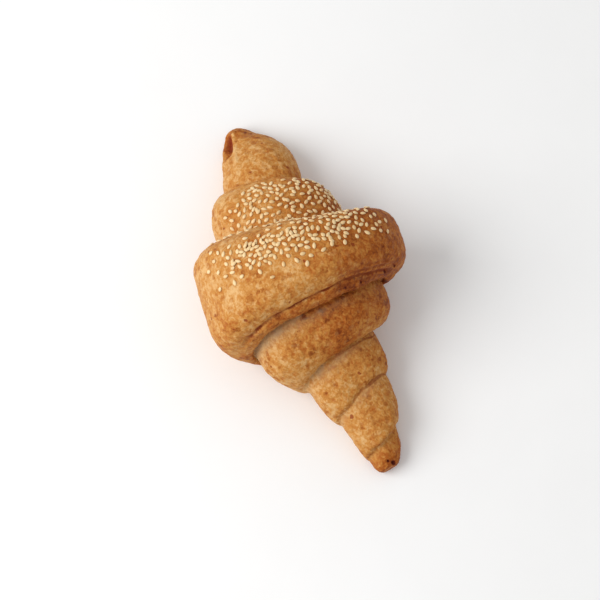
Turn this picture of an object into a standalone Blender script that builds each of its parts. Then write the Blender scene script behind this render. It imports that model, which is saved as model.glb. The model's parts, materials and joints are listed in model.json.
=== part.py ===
"""A large wholemeal croissant, rolled from one triangle of dough, with sesame seeds baked on.

Metres, +Z up. The axis of the roll runs along X, its fuller near tip at +X, and the flat underside lies on z = 0.
A place in the dough is given by u, the distance along the roll from its ridge, by the turns of the sheet counted
inwards from the triangle's tip, which is tucked under the roll, and by the radius from the axis.
"""

import math
import random

import bmesh
import bpy
import numpy as np
from mathutils import Matrix, Vector, noise
from mathutils.bvhtree import BVHTree

MM = 0.001

# The whole roll. The ridge is the middle of the outermost band.
NEAR_REACH = 101 * MM
FAR_REACH = 88 * MM
RIDGE_X = (FAR_REACH - NEAR_REACH) / 2
HEIGHT = 74 * MM

# Half width of each layer at its crown, from the outermost band inwards, on either side of the ridge.
NEAR_RADII = (50.5 * MM, 36.4 * MM, 22.2 * MM, 16.2 * MM, 9.2 * MM, 8.0 * MM)
FAR_RADII = (50.5 * MM, 32.8 * MM, 20.0 * MM, 12.0 * MM, 8.0 * MM, 7.0 * MM)
SIDE_BLEND = 20 * MM

# A layer is a little wider than high, and sags until part of it is pressed flat on the tray.
AXIS_HEIGHT = 0.667
SPREAD_DOWN = 0.78
SPREAD_UP = HEIGHT / NEAR_RADII[0] - AXIS_HEIGHT

# Where the edges of the rolled sheet lie, as (turns in from its tip, distance from the ridge).
NEAR_EDGE = (
    (0.0, 13 * MM), (0.25, 24.5 * MM), (0.75, 30.5 * MM), (1.25, 40 * MM), (1.75, 53 * MM),
    (2.25, 58.5 * MM), (2.75, 71.5 * MM), (3.25, 84 * MM), (3.75, 93 * MM), (4.0, 94 * MM),
)
FAR_EDGE = (
    (0.0, 6 * MM), (0.25, 12 * MM), (0.75, 29.5 * MM), (1.25, 41 * MM), (1.75, 56 * MM),
    (2.1, 53 * MM), (2.4, 40 * MM), (4.0, 38 * MM),
)
SHEET_TURNS = 4.0

# The edge of a layer is blunt: a high power makes a square shoulder, squarest where the roll has sagged sideways.
# The edge curls in where it meets the layer below.
TOP_POWER = 5.0
SIDE_POWER = 9.0
TAPER = 0.07
CURL_DEPTH = 3.0 * MM
CURL_HEIGHT = 2.5 * MM

# The layers step inwards over the last part of each turn, under the roll.
STEP_START = 0.86

# The solid heart of the roll, as (u, radius). It shows as the far cone and as the near tip.
HEART = (
    (-88 * MM, 1 * MM), (-87 * MM, 4 * MM), (-83 * MM, 7.8 * MM), (-77 * MM, 11.6 * MM), (-69 * MM, 16.2 * MM),
    (-60 * MM, 19.2 * MM), (-50 * MM, 20.6 * MM), (-20 * MM, 20 * MM), (50 * MM, 14 * MM), (80 * MM, 9.4 * MM),
    (92 * MM, 8.6 * MM), (98 * MM, 6.9 * MM), (100.4 * MM, 4.2 * MM), (101 * MM, 1 * MM),
)
# The axis wanders sideways a little, as (u, sideways shift).
AXIS_SHIFT = (
    (-88 * MM, 4.0 * MM), (-75 * MM, 4.6 * MM), (-62 * MM, 3.4 * MM), (-42 * MM, 1.2 * MM), (0.0, 0.2 * MM),
    (42 * MM, -0.4 * MM), (64 * MM, 2.2 * MM), (84 * MM, 3.4 * MM), (101 * MM, 1.0 * MM),
)

# Both ends are blunt noses, a little off the tray.
NOSE_RADIUS = 8 * MM

# A fold is left open on the far cone, beside its nose: its centre, and its half lengths along, across and deep.
FOLD_CENTRE = (-84 * MM, -3.5 * MM, 10.5 * MM)
FOLD_HALF = (7 * MM, 1.6 * MM, 3.6 * MM)
FOLD_SWING = math.radians(9)
FOLD_ROLL = math.radians(30)

# Fineness of the swept forms
SECTIONS_PER_TURN = 48
ARCH_POINTS = 14
WALL_POINTS = 6
HEART_STATIONS = 60
HEART_SIDES = 40
INNER_RADIUS = 2 * MM

# The crust
VOXEL = 1.0 * MM
SMOOTHING_ROUNDS = 4
LUMP_SIZE = 24 * MM
LUMP_HEIGHT = 1.3 * MM
CRUST_TRIANGLES = 4500
CRUST_COLOUR = (0.55, 0.30, 0.11, 1.0)
CRUST_ROUGHNESS = 0.62
FLOOR_CUT = 0.3

# The sesame seeds lie on the far half of the outermost band and on the ring beyond it.
SEED_COUNT = 175
SEED_LENGTH = 3.1 * MM
SEED_WIDTH = 1.9 * MM
SEED_THICKNESS = 1.1 * MM
SEED_SPREAD = 0.14
SEED_SPACING = 2.2 * MM
SEED_RISE = 0.25 * MM
SEED_DRAWS = 6000
SEED_RANDOM = 1341
SEED_LIMIT_ANGLE = math.radians(80)
SEED_NEAR_REACH = 9.4 * MM
SEED_FAR_REACH = 52 * MM

# The seeds thin out towards a line just past the ridge, and towards an angle on either side of the band's crown
# and on the left of the ring beyond it. None lies in the seam between the two or close to the ring's own edge.
SEED_NEAR_LIMIT = (
    (math.radians(-80), -8 * MM), (math.radians(-51), -5 * MM), (math.radians(-30), 0.0), (0.0, 5 * MM),
    (math.radians(57), 5 * MM), (math.radians(80), 4 * MM),
)
LIMIT_BEFORE = 7 * MM
LIMIT_AFTER = 2 * MM
STRAY_SEEDS = 0.015
LEFT_LIMIT, LEFT_THICK = math.radians(-60), math.radians(-25)
RIGHT_LIMIT, RIGHT_THICK = math.radians(60), math.radians(45)
RING_LIMIT, RING_THICK = math.radians(-66), math.radians(-52)
RING_SHARE = 0.9
RING_MARGIN = 3 * MM
SEAM_HALF_WIDTH = 1.5 * MM

# Rays that find the crust under a seed start well outside it and aim at a place inside it.
RAY_START = 200 * MM
AIM_SHARE = 0.6

# The steepest part of a layer's section that is used before its edge turns in
STEEPEST_SHARE = 0.98


def clear_scene():
    for item in list(bpy.data.objects):
        bpy.data.objects.remove(item, do_unlink=True)


def new_collection(name):
    collection = bpy.data.collections.new(name)
    bpy.context.scene.collection.children.link(collection)
    return collection


def through(stations, at):
    """The value at a place on the smooth curve through the stations, each a (place, value)."""
    places = [place for place, _ in stations]
    values = [value for _, value in stations]
    if at <= places[0]:
        return values[0]
    if at >= places[-1]:
        return values[-1]
    i = int(np.searchsorted(places, at)) - 1
    slopes = []
    for k in (i, i + 1):
        before, after = max(k - 1, 0), min(k + 1, len(places) - 1)
        slopes.append((values[after] - values[before]) / (places[after] - places[before]))
    span = places[i + 1] - places[i]
    f = (at - places[i]) / span
    rise = values[i + 1] - values[i]
    start, end = slopes[0] * span, slopes[1] * span
    return values[i] + f * start + f * f * (3 * rise - 2 * start - end) + f ** 3 * (start + end - 2 * rise)


def smooth_step(low, high, value):
    f = min(max((value - low) / (high - low), 0.0), 1.0)
    return f * f * (3 - 2 * f)


def crown_radius(turn, u):
    """Half width at the crown of the layer that lies so many turns in."""
    layer = min(int(turn), len(NEAR_RADII) - 2)
    step = smooth_step(STEP_START, 1.0, turn - layer)
    side = smooth_step(-SIDE_BLEND, SIDE_BLEND, u)
    near = NEAR_RADII[layer] + step * (NEAR_RADII[layer + 1] - NEAR_RADII[layer])
    far = FAR_RADII[layer] + step * (FAR_RADII[layer + 1] - FAR_RADII[layer])
    return far + side * (near - far)


def edge_distance(turn, side):
    return through(NEAR_EDGE if side > 0 else FAR_EDGE, turn)


def edge_power(turn):
    return TOP_POWER + (SIDE_POWER - TOP_POWER) * math.sin(angle_of(turn)) ** 2


def arch_radius(turn, u):
    """Radius of a layer's outside at u, or nothing beyond its edge."""
    side = 1 if u > 0 else -1
    share = min(abs(u) / edge_distance(turn, side), 1.0)
    return crown_radius(turn, u) * (1 - TAPER * share ** 2) * math.sqrt(1 - share ** edge_power(turn))


def share_at(turn, side, radius):
    """The share of the way to its edge at which a layer has come down to a radius."""
    crown = crown_radius(turn, side * edge_distance(turn, side)) * (1 - TAPER)
    return (1 - min(radius / crown, STEEPEST_SHARE) ** 2) ** (1 / edge_power(turn))


def angle_of(turn):
    """Angle round the axis from the top towards +Y: the sheet's tip is underneath."""
    return math.pi - 2 * math.pi * turn


def place(u, radius, angle, layer_radius):
    up = math.cos(angle)
    spread = SPREAD_UP if up > 0 else SPREAD_DOWN
    return Vector((
        RIDGE_X + u,
        through(AXIS_SHIFT, u) + radius * math.sin(angle),
        AXIS_HEIGHT * layer_radius + radius * up * spread,
    ))


def half_section(turn, side):
    """Points (u, radius) of one side of a layer's section, from the ridge down its edge to the inner radius."""
    edge = edge_distance(turn, side)
    below = arch_radius(turn + 1, side * edge) if turn + 1 < SHEET_TURNS else INNER_RADIUS
    below = max(below, INNER_RADIUS + CURL_DEPTH)
    lowest = share_at(turn, side, below + CURL_HEIGHT)
    points = []
    for i in range(ARCH_POINTS):
        share = lowest * math.sin(math.pi / 2 * (i + 0.5) / ARCH_POINTS) ** 0.6
        points.append((side * edge * share, arch_radius(turn, side * edge * share)))
    for i in range(WALL_POINTS):
        fall = i / (WALL_POINTS - 1)
        points.append((side * (edge - CURL_DEPTH * fall ** 2), below + CURL_HEIGHT * (1 - fall)))
    points.append((side * (edge - CURL_DEPTH), INNER_RADIUS))
    return points


def add_sheet(mesh):
    """The rolled sheet: a section across the roll, swept round the axis from the triangle's tip inwards."""
    previous = None
    for i in range(int(SHEET_TURNS * SECTIONS_PER_TURN) + 1):
        turn = i / SECTIONS_PER_TURN
        outline = half_section(turn, -1)[::-1] + half_section(turn, 1)
        ring = [
            mesh.verts.new(place(u, radius, angle_of(turn), crown_radius(turn, u)))
            for u, radius in outline
        ]
        if previous is None:
            mesh.faces.new(ring)
        else:
            bridge(mesh, previous, ring)
        previous = ring
    mesh.faces.new(previous[::-1])


def bridge(mesh, first, second):
    for i in range(len(first)):
        j = (i + 1) % len(first)
        mesh.faces.new((first[i], first[j], second[j], second[i]))


def add_heart(mesh):
    """The heart: rings round the axis from the far tip to the near one."""
    previous = None
    for i in range(HEART_STATIONS + 1):
        swing = -math.cos(math.pi * i / HEART_STATIONS)
        u = (NEAR_REACH - FAR_REACH) / 2 + swing * (NEAR_REACH + FAR_REACH) / 2
        radius = through(HEART, u)
        angles = [2 * math.pi * k / HEART_SIDES for k in range(HEART_SIDES)]
        ring = [mesh.verts.new(place(u, radius, angle, max(radius, NOSE_RADIUS))) for angle in angles]
        if previous is None:
            mesh.faces.new(ring)
        else:
            bridge(mesh, previous, ring)
        previous = ring
    mesh.faces.new(previous[::-1])


def apply_modifiers(item):
    """Replaces an object's mesh by what its modifiers make of it."""
    shape = item.evaluated_get(bpy.context.evaluated_depsgraph_get())
    finished = bpy.data.meshes.new_from_object(shape)
    item.modifiers.clear()
    item.data = finished


def keep_largest_body(item):
    """Drops the loose scraps that a cut or a union can leave."""
    mesh = bmesh.new()
    mesh.from_mesh(item.data)
    left = set(mesh.verts)
    bodies = []
    while left:
        body = []
        queue = [left.pop()]
        while queue:
            vertex = queue.pop()
            body.append(vertex)
            for edge in vertex.link_edges:
                other = edge.other_vert(vertex)
                if other in left:
                    left.remove(other)
                    queue.append(other)
        bodies.append(body)
    bodies.sort(key=len)
    for body in bodies[:-1]:
        bmesh.ops.delete(mesh, geom=body, context="VERTS")
    mesh.to_mesh(item.data)
    mesh.free()


def add_lumps(item):
    """Dough proves unevenly: broad, shallow swellings over the whole crust."""
    outward = [vertex.normal.copy() for vertex in item.data.vertices]
    for vertex, normal in zip(item.data.vertices, outward):
        vertex.co += normal * LUMP_HEIGHT * noise.noise(vertex.co / LUMP_SIZE)


def move_to(item, collection):
    for home in list(item.users_collection):
        home.objects.unlink(item)
    collection.objects.link(item)


def cut_with(item, name, cutters):
    """Cuts the shape that was just added out of an item."""
    cutter = bpy.context.object
    cutter.name = name
    cutter.hide_render = True
    cutter.display_type = "WIRE"
    move_to(cutter, cutters)
    cut = item.modifiers.new(name, "BOOLEAN")
    cut.operation = "DIFFERENCE"
    cut.object = cutter
    apply_modifiers(item)
    keep_largest_body(item)


def make_crust(collection, cutters):
    mesh = bmesh.new()
    add_sheet(mesh)
    add_heart(mesh)
    bmesh.ops.recalc_face_normals(mesh, faces=mesh.faces)
    data = bpy.data.meshes.new("croissant")
    mesh.to_mesh(data)
    mesh.free()
    crust = bpy.data.objects.new("croissant", data)
    collection.objects.link(crust)

    remesh = crust.modifiers.new("one body", "REMESH")
    remesh.mode = "VOXEL"
    remesh.voxel_size = VOXEL
    apply_modifiers(crust)
    keep_largest_body(crust)
    add_lumps(crust)

    softer = crust.modifiers.new("softer edges", "SMOOTH")
    softer.iterations = SMOOTHING_ROUNDS
    fewer = crust.modifiers.new("fewer faces", "DECIMATE")
    fewer.ratio = CRUST_TRIANGLES / (2 * len(crust.data.polygons))
    fewer.use_collapse_triangulate = True
    apply_modifiers(crust)

    bpy.ops.mesh.primitive_ico_sphere_add(
        subdivisions=2, radius=1, location=FOLD_CENTRE, scale=FOLD_HALF, rotation=(FOLD_ROLL, 0, FOLD_SWING)
    )
    cut_with(crust, "fold", cutters)
    bpy.ops.mesh.primitive_cube_add(size=FLOOR_CUT, location=(0, 0, -FLOOR_CUT / 2))
    cut_with(crust, "tray", cutters)
    return crust


def seed_places(crust):
    """Seeded draws of (point, normal, turn of the seed, size): the largest first, never closer than the spacing."""
    tree = BVHTree.FromPolygons(
        [vertex.co for vertex in crust.data.vertices],
        [tuple(face.vertices) for face in crust.data.polygons],
    )
    draw = random.Random(SEED_RANDOM)
    places = []
    for _ in range(SEED_DRAWS):
        u = draw.uniform(-SEED_FAR_REACH, SEED_NEAR_REACH)
        angle = draw.uniform(-1, 1) * SEED_LIMIT_ANGLE
        chance, turned, size = draw.random(), draw.uniform(0, math.pi), draw.uniform(-1, 1)
        if chance > seed_density(u, angle):
            continue
        outward = Vector((0, math.sin(angle), math.cos(angle)))
        middle = Vector((RIDGE_X + u, 0, AXIS_HEIGHT * crown_radius(0.5, u) * AIM_SHARE))
        point, normal, _, _ = tree.ray_cast(middle + outward * RAY_START, -outward)
        if point is None or any((point - other[0]).length < SEED_SPACING for other in places):
            continue
        places.append((point, normal, turned, 1 + SEED_SPREAD * size))
        if len(places) == SEED_COUNT:
            break
    return sorted(places, key=lambda one: -one[3])


def seed_density(u, angle):
    """Chance that a seed stays where it falls: thick beyond the ridge, thinning towards it and down the sides."""
    turn = 0.5 - angle / (2 * math.pi)
    far_edge = -edge_distance(turn, -1)
    ring_edge = -edge_distance(turn + 1, -1)
    if u < ring_edge + RING_MARGIN or abs(u - far_edge) < SEAM_HALF_WIDTH:
        return 0.0
    if u < far_edge:
        return RING_SHARE * smooth_step(RING_LIMIT, RING_THICK, angle)
    sides = smooth_step(LEFT_LIMIT, LEFT_THICK, angle) * smooth_step(-RIGHT_LIMIT, -RIGHT_THICK, -angle)
    past = u - through(SEED_NEAR_LIMIT, angle)
    return sides * (1 - (1 - STRAY_SEEDS) * smooth_step(-LIMIT_BEFORE, LIMIT_AFTER, past))


def make_seed(collection, point, normal, turned, size):
    bpy.ops.mesh.primitive_ico_sphere_add(subdivisions=1, radius=0.5)
    seed = bpy.context.object
    seed.name = "seed"
    across = normal.orthogonal().normalized()
    across.rotate(Matrix.Rotation(turned, 3, normal))
    along = normal.cross(across)
    turn = Matrix((across, along, normal)).transposed().to_4x4()
    scale = Matrix.Diagonal((SEED_LENGTH * size, SEED_WIDTH * size, SEED_THICKNESS * size, 1))
    seed.data.transform(Matrix.Translation(point + normal * SEED_RISE) @ turn @ scale)
    move_to(seed, collection)


def fuse_seeds(crust):
    seeds = new_collection("sesame seeds")
    for point, normal, turned, size in seed_places(crust):
        make_seed(seeds, point, normal, turned, size)
    join = crust.modifiers.new("baked on", "BOOLEAN")
    join.operation = "UNION"
    join.operand_type = "COLLECTION"
    join.collection = seeds
    join.solver = "MANIFOLD"
    apply_modifiers(crust)
    keep_largest_body(crust)
    for seed in list(seeds.objects):
        bpy.data.objects.remove(seed, do_unlink=True)
    bpy.data.collections.remove(seeds)


def crust_material():
    material = bpy.data.materials.new("baked crust")
    material.use_nodes = True
    shader = material.node_tree.nodes["Principled BSDF"]
    shader.inputs["Base Color"].default_value = CRUST_COLOUR
    shader.inputs["Roughness"].default_value = CRUST_ROUGHNESS
    shader.inputs["Metallic"].default_value = 0.0
    return material


def main():
    clear_scene()
    collection = new_collection("croissant")
    cutters = new_collection("cutters")
    crust = make_crust(collection, cutters)
    fuse_seeds(crust)
    crust.data.materials.clear()
    crust.data.materials.append(crust_material())


main()
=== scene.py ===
"""A large wholemeal croissant with sesame seeds, dressed over its plain solid, on a pale table in soft light.

The dough is one sheet rolled from its base to its tip, as a baker rolls it. A place in it is given by u, the
distance along the roll from its ridge, and by the turns of the sheet counted inwards from its tip.
"""

import json
import math
import random

import bmesh
import bpy
import numpy as np
from bpy.props import FloatProperty, FloatVectorProperty, IntProperty, PointerProperty
from mathutils import Matrix, Vector, noise
from mathutils.bvhtree import BVHTree
from mathutils.kdtree import KDTree

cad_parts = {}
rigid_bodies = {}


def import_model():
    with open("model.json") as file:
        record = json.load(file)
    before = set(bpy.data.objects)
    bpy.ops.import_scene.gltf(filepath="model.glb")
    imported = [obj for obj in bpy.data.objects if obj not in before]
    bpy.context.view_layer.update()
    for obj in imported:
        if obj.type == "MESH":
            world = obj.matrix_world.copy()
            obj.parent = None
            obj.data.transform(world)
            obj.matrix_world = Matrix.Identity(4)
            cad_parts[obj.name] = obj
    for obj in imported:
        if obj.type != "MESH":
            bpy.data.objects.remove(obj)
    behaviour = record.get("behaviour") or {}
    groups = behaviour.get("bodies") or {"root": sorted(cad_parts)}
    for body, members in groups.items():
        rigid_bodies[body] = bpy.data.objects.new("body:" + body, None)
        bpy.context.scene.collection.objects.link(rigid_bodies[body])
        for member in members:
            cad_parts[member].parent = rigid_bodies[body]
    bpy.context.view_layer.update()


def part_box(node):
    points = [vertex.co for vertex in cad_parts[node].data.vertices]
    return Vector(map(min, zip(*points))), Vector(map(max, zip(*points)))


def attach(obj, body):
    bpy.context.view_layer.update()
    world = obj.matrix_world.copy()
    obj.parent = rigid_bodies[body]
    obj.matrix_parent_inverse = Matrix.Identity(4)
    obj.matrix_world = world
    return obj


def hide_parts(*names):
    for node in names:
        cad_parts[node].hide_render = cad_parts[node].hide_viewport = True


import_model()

bl_info = {
    "name": "Rolled Croissant",
    "version": (1, 0, 0),
    "blender": (4, 5, 0),
    "location": "3D View > Sidebar > Croissant",
    "description": "Models a wholemeal croissant with sesame seeds, its table, its light and its camera",
    "category": "Add Mesh",
}

MM = 0.001
SOLID = "croissant"
LOW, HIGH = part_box(SOLID)

# The roll's reach on either side of its ridge, as in the solid
FAR_REACH = 88 * MM
NEAR_REACH = HIGH[0] - LOW[0] - FAR_REACH
RIDGE_X = LOW[0] + FAR_REACH
HEIGHT = 74 * MM

# Half width of each layer at its crown, from the outermost band inwards, on either side of the ridge. Each
# layer steps down to the next in the last part of its turn. The outermost passes over the top at TOP_TURN.
NEAR_RADII = np.array((51.3, 35.4, 22.0, 16.0, 9.2, 8.0)) * MM
FAR_RADII = np.array((50.5, 31.6, 20.0, 12.0, 8.0, 7.0)) * MM
SIDE_BLEND = 20 * MM
STEP_START = 0.86
TOP_TURN = 0.5

# Height of a layer's axis, and its spread below and above it, as shares of its half width
AXIS_HEIGHT = 0.667
SPREAD_DOWN = 0.78
SPREAD_UP = HEIGHT / FAR_RADII[0] - AXIS_HEIGHT

# Edges of the rolled sheet, as (turns in from its tip, distance from the ridge)
NEAR_EDGE = (
    (0.0, 12.5 * MM), (0.25, 21.6 * MM), (0.75, 26.7 * MM), (1.25, 38.6 * MM), (1.75, 48.8 * MM),
    (2.25, 57.6 * MM), (2.75, 69.4 * MM), (3.25, 83.2 * MM), (3.75, 90.8 * MM), (4.0, 92.0 * MM),
)
FAR_EDGE = (
    (0.0, 6 * MM), (0.25, 9.4 * MM), (0.75, 29.5 * MM), (1.25, 41 * MM), (1.75, 55.6 * MM),
    (2.1, 53 * MM), (2.4, 40 * MM), (4.0, 38 * MM),
)
SHEET_TURNS = 4.0

# Waves of a hand cut edge, as (waves in a turn, phase, share), and the height of the first
EDGE_WAVES = ((2.3, 1.0, 1.0), (5.3, 2.1, 0.6), (11.7, 4.0, 0.35))
EDGE_WANDER = 0.4375 * MM

# Fullness of a layer's arch at its top and at its sides, and how far it falls from the ridge to its edge
TOP_POWER = 5.0
SIDE_POWER = 9.0
TAPER = 0.07

# Rims of the layers from the outermost inwards: width, undercut, and, as shares of the step down to the dough
# below, the height at which the rim starts and the gap left open under it
NEAR_RIMS = ((4.0 * MM, 5.0 * MM, 0.60, 0.26), (1.4 * MM, 4.0 * MM, 0.46, 0.20),
             (2.2 * MM, 1.8 * MM, 0.42, 0.10), (1.4 * MM, 1.8 * MM, 0.45, 0.14))
FAR_RIMS = ((2.0 * MM, 3.0 * MM, 0.40, 0.10), (2.2 * MM, 2.6 * MM, 0.40, 0.12),
            (1.0 * MM, 1.0 * MM, 0.20, 0.05), (1.0 * MM, 1.0 * MM, 0.20, 0.05))
LEAST_STEP = 1.5 * MM
SIDE_NARROWING = 0.62
RIM_BITE = 0.6 * MM
RIM_TOP_LIMIT = 0.98
RIM_FULLNESS = 0.8
UNDERCUT_FULLNESS = 0.8

# The heart of the roll, as (u, radius), and the sideways wander of the axis, as (u, shift)
HEART = (
    (-88 * MM, 1 * MM), (-87 * MM, 4 * MM), (-83 * MM, 7.8 * MM), (-77 * MM, 11.6 * MM),
    (-69 * MM, 16.2 * MM), (-60 * MM, 19.2 * MM), (-50 * MM, 20.6 * MM), (-20 * MM, 20 * MM),
    (50 * MM, 14 * MM), (80 * MM, 9.2 * MM), (92 * MM, 8.2 * MM), (98 * MM, 6.5 * MM),
    (100.4 * MM, 4.2 * MM), (101 * MM, 1 * MM),
)
AXIS_SHIFT = (
    (-88 * MM, 4.0 * MM), (-75 * MM, 4.9 * MM), (-62 * MM, 4.4 * MM), (-42 * MM, 1.8 * MM), (0.0, 0.7 * MM),
    (18 * MM, -0.9 * MM), (42 * MM, 0.0 * MM), (64 * MM, 2.8 * MM), (84 * MM, 3.6 * MM), (101 * MM, 0.7 * MM),
)
NOSE_RADIUS = 8 * MM

# Fineness of the swept forms, and how closely the points of an arch crowd towards its rim
SECTIONS_PER_TURN = 120
ARCH_POINTS = 26
ARCH_CROWDING = 0.6
RIM_POINTS = 10
UNDER_POINTS = 8
HEART_STATIONS = 120
HEART_SIDES = 96

# How near the axis the sheet reaches, and how far its forms reach below the floor before the base is flattened
INNER_RADIUS = 2 * MM
BELOW_FLOOR = 1.2 * MM

# Reading a finished point back into the roll: how far off a layer's edge it may lie, how far above the dough
# below it has to lie, how far in from the edge it surely belongs to the layer, and what stands for no edge
EDGE_SLACK = 0.8 * MM
LEAST_RISE = 0.8 * MM
WELL_INSIDE = 7 * MM
FAR_AWAY = 1.0

# Noise over the crust, as (size of its features, shift): lumps, swellings, blisters, breaks in the crack, and
# where the crust browns unevenly
LUMPS = (24 * MM, 0.0)
LUMP_HEIGHT = 1.3 * MM
SWELLINGS = (8 * MM, 3.0)
BLISTERS = (3.1 * MM, 7.0)
SMALL_BLISTERS = (1.7 * MM, 11.0)
SMALL_BLISTER_SHARE = 0.6
BLISTER_FLOOR = -0.15
BROKEN_CRACK = (5 * MM, 9.0)
UNEVEN_BAKING = (15 * MM, 5.0)

# Stretch lines: how many in a turn, their width, their shift from layer to layer, how far in from a rim they
# fade and how much of them stays everywhere
STRETCH_PACE = 9.0
STRETCH_WIDTH = 1.5 * MM
STRETCH_SHIFT = 3.7
RIM_ZONE = 5 * MM
STRETCH_EVERYWHERE = 0.25

# The crack over the cut edge: how far from the top it closes, in turns, the half width of its groove, and the
# drawn line as (where it ends, where it is full). Its companions are (distance beyond it, strength).
CRACK_LIMITS = (0.235, 0.165)
CRACK_HALF_WIDTH = 0.4 * MM
CRACK_LINE = (0.60 * MM, 0.15 * MM)
CRACK_RAGGED = 0.25 * MM
CRACK_LEAST = 0.35
CRACK_BREAKS = (-0.3, 0.3)
COMPANION_LIMITS = (0.47, 0.40)
COMPANION_CRACKS = ((-1.4 * MM, 0.8), (1.3 * MM, 0.8), (2.7 * MM, 0.5))

# Painted shadow: the dark line under the near rims of the inner layers, fainter on the left, the lit side
LIP_REACH = 6 * MM
LIP_SHADOW_OFFSET = 0.3 * MM
LIP_SHADOW_LINE = (0.75 * MM, 0.15 * MM)
LIP_SHADOW_LEFT, LIP_SHADOW_MORE_RIGHT = 0.25, 0.35
LIP_SHADOW_SIDES = (-20 * MM, 15 * MM)

# The far end: the sheet's edge hoods over the nose, runs down the cone as a low seam to a small hole, and
# leaves a pocket open to its left. The seam and the pocket are each a line of points.
FAR_SEAM = np.array(((-89.5, 2.0, 11.0), (-79.4, -1.2, 18.5), (-70.5, -5.0, 24.4), (-60.5, -8.6, 26.8))) * MM
SEAM_RISE = 0.45 * MM
SEAM_WIDTH = 0.9 * MM
SEAM_FADE = (0.7, 1.0)
SEAM_PALER = 0.8
POCKET = np.array(((-89.6, -2.4, 9.5), (-84.0, -4.4, 13.0), (-77.0, -7.4, 16.6))) * MM
POCKET_REACH = 4.6 * MM
POCKET_DEPTH = 3.4 * MM
POCKET_CLEAR = (0.9 * SEAM_WIDTH, 2.6 * SEAM_WIDTH)
POCKET_WALL = (0.25, 1.0)
POCKET_FADE = (0.55, 1.0)
# Painted shade: the pocket's inside is darkest under the hood, easing off along it, and browner all through
POCKET_SHADE_FADE = (0.05, 0.5)
POCKET_SHADE_EASING = 0.85
POCKET_PAINTED_SHADE = 0.6

# Small holes, as (centre in mm, size in mm): at the far ring's edge, in the swirl of the near end, and under
# the right end of the cut edge. Each is drawn out upwards, so that it meets the crust.
# Each hole is dented and painted near black as the shade inside it; those under the cut edge are painted
# shadow in the gap below it.
HOLES = (
    ((-59.0, -9.0, 26.8), 0.8), ((90.7, 1.1, 10.5), 0.75), ((92.1, 3.2, 7.0), 1.25),
    ((14.0, 34.0, 47.5), 0.8), ((12.9, 39.9, 44.9), 0.7), ((16.1, 20.5, 56.3), 0.6),
    ((16.2, 12.4, 59.3), 0.55),
)
HOLE_SHAPE = (1.0, 1.0, 0.35)
HOLE_DEPTH = 1.2
HOLE_WALL = (0.5, 1.3)
# Painted shade in each hole: where it starts and where it is full, as shares of the hole's size
HOLE_PAINTED_SHADE = (1.15, 0.75)

# Broad bumps and dents of the far end, as (centre, reach, height), in mm
BUMPS = (
    ((-90.0, 4.7, 11.0), 4.0, 0.9), ((-90.0, 1.0, 10.5), 3.0, 0.9),
    ((-80.0, 16.0, 10.0), 5.0, 0.9), ((-84.5, 9.4, 11.0), 3.0, -1.7),
)

# Browning, from 0 to 1, with some painted shade: the least, the most, and what each part of the crust adds
PLAIN_BAKE = 0.25
MOST_BAKED = 0.8
# Browner on the right, the side away from the key light: partly real browning, partly painted shade
RIGHT_BAKE_AND_SHADE = 0.34
# Painted shade: browner on the outer band's slope towards its near rim, which faces away from the key light
SLOPE_PAINTED_SHADE = 0.14
RIDGE_BAKE = 0.08
CROWN_BAKE = (0.0, 0.31, 0.06, 0.0, 0.0)
HOOD_BAKE = 0.2
TIP_BAKE = 0.34
# The cut edge's strip is browner, and more so on the right, where the extra is partly painted shade
STRIP_BAKE, STRIP_RIGHT_BAKE_AND_SHADE = 0.17, 0.2
UNEVEN_BAKE = 0.14
TOAST_BAKE = 0.15
FAR_CONE_PALER = 0.75

# Where each of them lies: the two ends of a fade, or a middle and a width. The crown's is in turns, and the
# strip's is a share of its width.
RIGHT_SIDE = (-18 * MM, 46 * MM)
LEFT_SIDE = (18 * MM, -14 * MM)
SLOPE = (6 * MM, 9 * MM)
CROWN = (0.49, 0.11)
HOOD = (-70 * MM, -84 * MM)
TIP = (84 * MM, 98 * MM)
STRIP = (1.3, 0.9)
FAR_CONE = (-48 * MM, -60 * MM)
TOAST_REACH = 2.2 * MM
BODY_CENTRE = np.array((0.0, 0.0, 30 * MM))

# Ridges and crevices are read from how far the crust stands out from a softened copy of itself
SOFT_ROUNDS = 14
RIDGE_HEIGHT = 0.35 * MM
RIDGE_ROUNDS = 2
RIDGE_LIMITS = (-1, 1.5)
CREVICE_SHARE = 0.6
CREVICE_DEPTH = 3.2
CREVICE_ROUNDS = 3
# Pale dough under the near rims; the extra paleness on the left, the lit side, is painted light
BELOW_LIP_WIDTH = 3.5 * MM
BELOW_LIP_PALE, BELOW_LIP_PAINTED_LIGHT_LEFT = 0.08, 0.72

# Patterns of the materials. Scales are for each metre.
BLOTCH_LIMITS = ((0.30, 0.70, -1.0, 1.0), (0.28, 0.72, -0.5, 0.5))
BLOTCH_SHARE = 0.67
FLECK_BEND_SCALE = 900.0
FLECK_BEND = 0.9 * MM
FINE_BLOTCHES = {"large_scale": 460.0, "small_scale": 1100.0}
BROAD_BLOTCHES = {"large_scale": 120.0, "small_scale": 260.0}
SEED_BLOTCHES = {"large_scale": 500.0, "small_scale": 1600.0}
TABLE_BLOTCHES = {"large_scale": 6.0, "small_scale": 40.0}
SCORCHES = {"scale": 330.0, "size": 0.72, "share": 0.45, "softness": 0.09}
BUBBLES = {"scale": 420.0, "size": 0.8, "share": 0.35, "softness": 0.06}
BRAN = {"scale": 170.0, "size": 0.2, "share": 0.55, "softness": 0.04}
BRAN_STRENGTH = 0.8
GRAIN_SCALE = 1100.0
PIMPLE_SCALE = 520.0

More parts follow.
